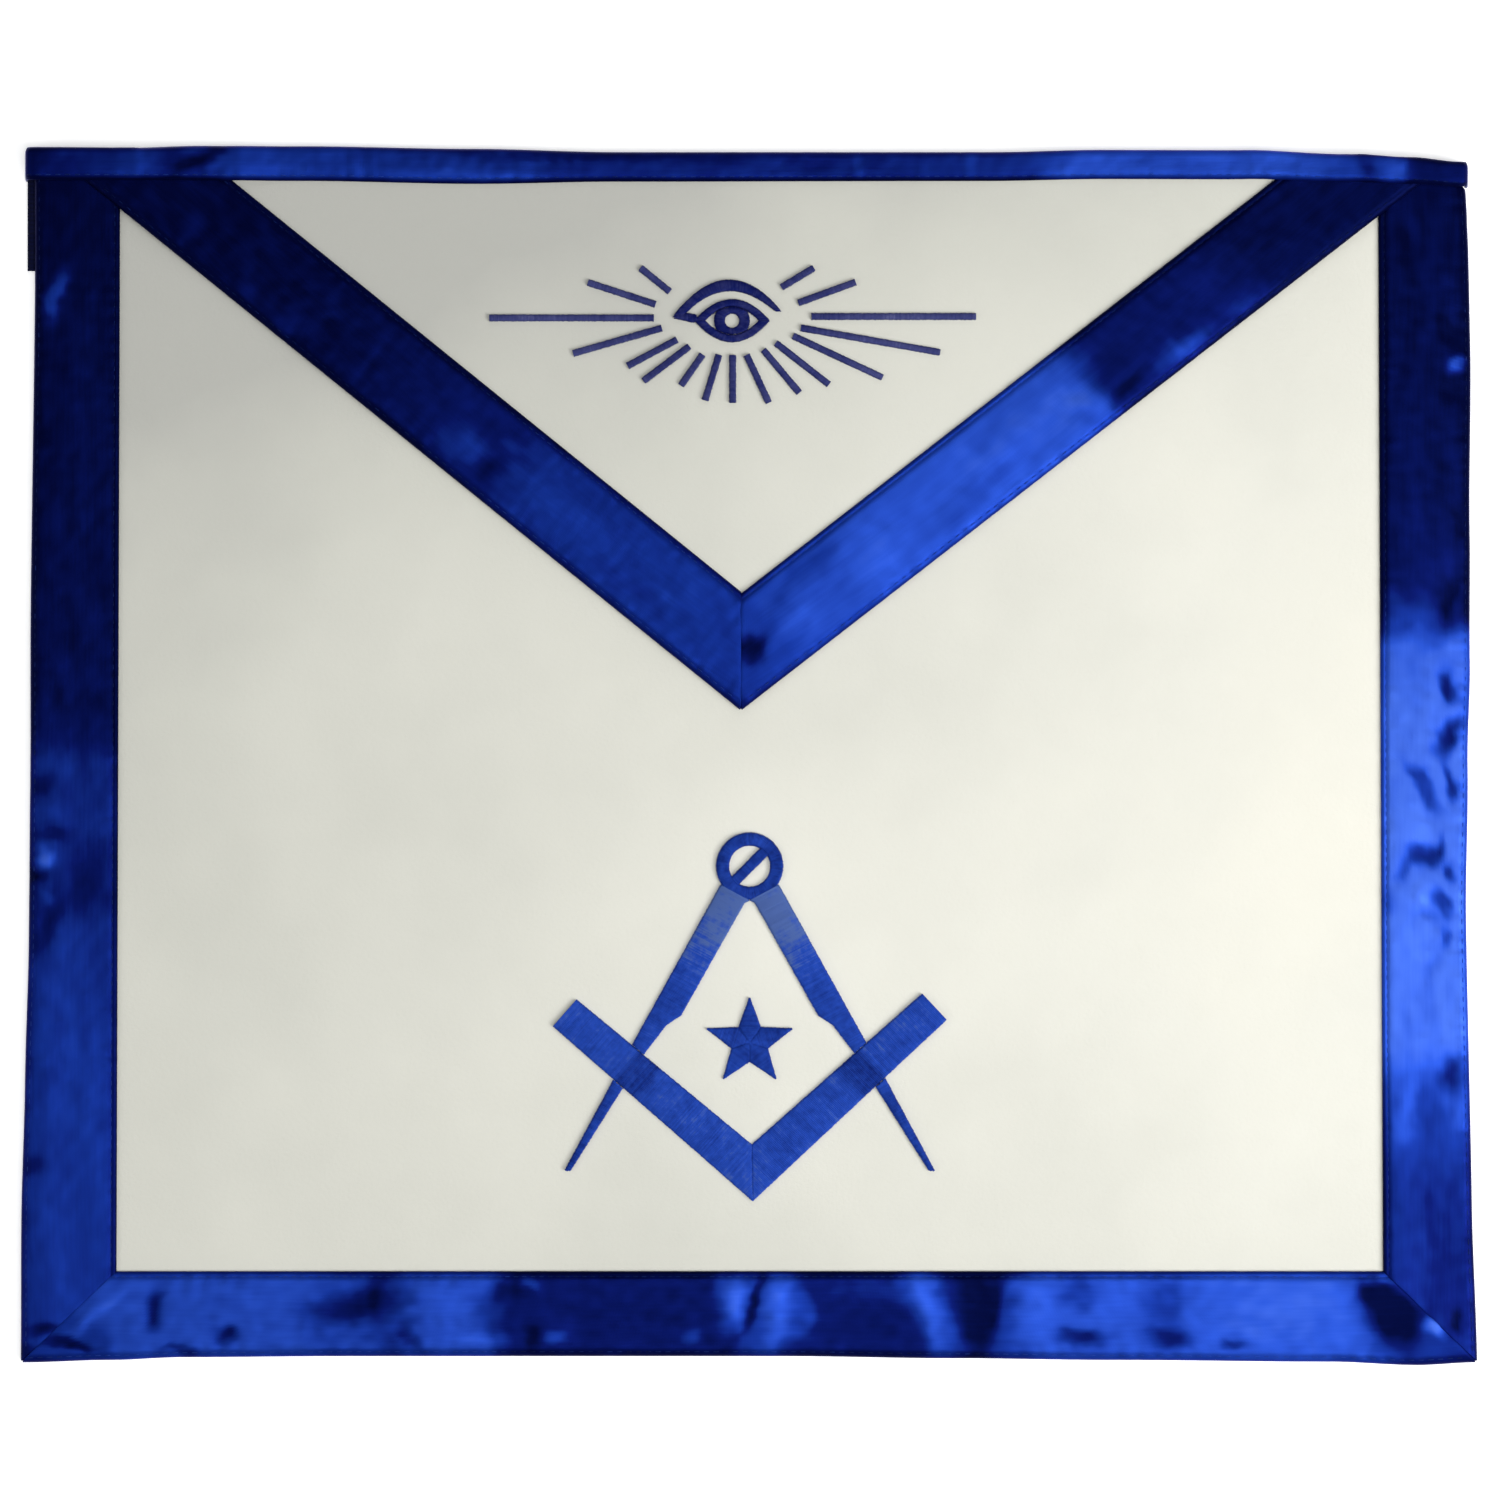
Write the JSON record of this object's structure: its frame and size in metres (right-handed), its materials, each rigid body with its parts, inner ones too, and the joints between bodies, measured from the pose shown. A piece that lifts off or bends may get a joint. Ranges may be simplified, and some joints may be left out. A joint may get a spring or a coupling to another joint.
{
  "type": "masonic apron",
  "caption": "White apron with a triangular flap, edged with folded blue satin ribbon, with an embroidered square and compasses and a rayed eye, lying flat.",
  "frame": {"origin": "middle of the underside of the apron as it lies, at the level it rests on", "axes": "+Z out of the front of the apron, +Y towards the waist edge, +X towards the viewer's right as the front is seen"},
  "size_m": [0.4214, 0.3525, 0.008],
  "materials": {
    "panel": "fine-grained white leatherette, matt with a faint sheen",
    "satin": "royal blue satin, glossy with soft bright streaks",
    "stitching": "blue rayon embroidery thread, satin stitch",
    "web": "navy woven web, matt"
  },
  "bodies": {
    "root": {"body_panel": "panel", "border_left": "satin", "border_right": "satin", "border_bottom": "satin", "flap_panel": "panel", "flap_ribbon_left": "satin", "flap_ribbon_right": "satin", "waist_binding": "satin", "belt_end_left": "web", "belt_end_right": "web", "square": "stitching", "compass_joint": "stitching", "compass_leg_left": "stitching", "compass_point_left": "stitching", "compass_leg_right": "stitching", "compass_point_right": "stitching", "star": "stitching", "eye_outline": "stitching", "eye_iris": "stitching", "eye_lid": "stitching", "ray_01": "stitching", "ray_02": "stitching", "ray_03": "stitching", "ray_04": "stitching", "ray_05": "stitching", "ray_06": "stitching", "ray_07": "stitching", "ray_08": "stitching", "ray_09": "stitching", "ray_10": "stitching", "ray_11": "stitching", "ray_12": "stitching", "ray_13": "stitching", "ray_14": "stitching", "ray_15": "stitching", "ray_16": "stitching", "ray_17": "stitching"}
  },
  "joints": []
}
